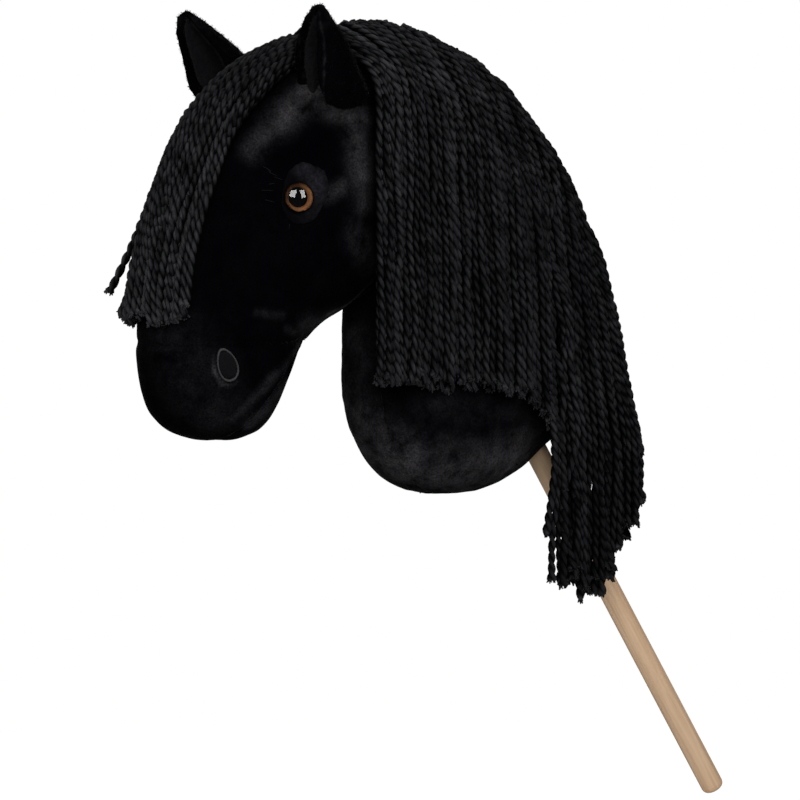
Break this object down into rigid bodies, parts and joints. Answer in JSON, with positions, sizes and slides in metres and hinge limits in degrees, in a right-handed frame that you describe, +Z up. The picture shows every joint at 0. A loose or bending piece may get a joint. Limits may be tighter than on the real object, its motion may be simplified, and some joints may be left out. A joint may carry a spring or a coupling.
{
  "type": "hobby horse",
  "caption": "Stuffed plush horse's head with a yarn mane and forelock, which pulls off the round wooden stick that a child rides astride.",
  "frame": {"origin": "the middle of the stick's lower end face", "axes": "+Z up with the stick leaning as in the picture, the horse looks along -X, its left side is -Y"},
  "size_m": [0.6253, 0.2098, 0.6952],
  "materials": {
    "beech": "planed, unfinished",
    "black_plush": "short pile plush",
    "ear_lining_plush": "short pile plush",
    "black_yarn": "thick two-ply yarn",
    "fibre_filling": "loose polyester fibre",
    "socket_card": "plain board tube",
    "grey_felt": "felt",
    "grey_thread": "satin stitch thread",
    "clear_eye": "clear, polished",
    "amber_eye": "painted from behind",
    "black_eye": "gloss"
  },
  "bodies": {
    "stick": {"stick": "beech"},
    "head": {"stick_socket": "socket_card", "neck_stuffing": "fibre_filling", "head_stuffing": "fibre_filling", "neck_gusset": "black_plush", "mane_tape": "black_plush", "neck_panel_left": "black_plush", "neck_panel_right": "black_plush", "forehead_gusset": "black_plush", "jaw_gusset": "black_plush", "face_panel_left": "black_plush", "face_panel_right": "black_plush", "muzzle_cover": "black_plush", "lower_lip": "black_plush", "eye_dome_left": "clear_eye", "eye_pupil_left": "black_eye", "eye_ring_left": "amber_eye", "eye_back_left": "black_eye", "eye_washer_left": "black_eye", "eye_patch_left": "grey_felt", "nostril_border_left": "grey_thread", "nostril_patch_left": "grey_thread", "ear_back_left": "black_plush", "ear_lining_left": "ear_lining_plush", "mane_lock_left_1": "black_yarn", "mane_lock_left_2": "black_yarn", "mane_lock_left_3": "black_yarn", "mane_lock_left_4": "black_yarn", "mane_lock_left_5": "black_yarn", "mane_lock_left_6": "black_yarn", "mane_lock_left_7": "black_yarn", "mane_lock_left_8": "black_yarn", "mane_lock_left_9": "black_yarn", "eye_dome_right": "clear_eye", "eye_pupil_right": "black_eye", "eye_ring_right": "amber_eye", "eye_back_right": "black_eye", "eye_washer_right": "black_eye", "eye_patch_right": "grey_felt", "nostril_border_right": "grey_thread", "nostril_patch_right": "grey_thread", "ear_back_right": "black_plush", "ear_lining_right": "ear_lining_plush", "mane_lock_right_1": "black_yarn", "mane_lock_right_2": "black_yarn", "mane_lock_right_3": "black_yarn", "mane_lock_right_4": "black_yarn", "mane_lock_right_5": "black_yarn", "mane_lock_right_6": "black_yarn", "mane_lock_right_7": "black_yarn", "mane_lock_right_8": "black_yarn", "mane_lock_right_9": "black_yarn", "forelock_lock_1": "black_yarn", "forelock_lock_2": "black_yarn", "forelock_lock_3": "black_yarn", "forelock_lock_4": "black_yarn", "forelock_lock_5": "black_yarn"}
  },
  "joints": [
    {"name": "head_lift", "type": "slide", "parent": "stick", "child": "head", "axis": [-0.5417, 0, 0.8406], "range_m": [0, 0.32]}
  ]
}
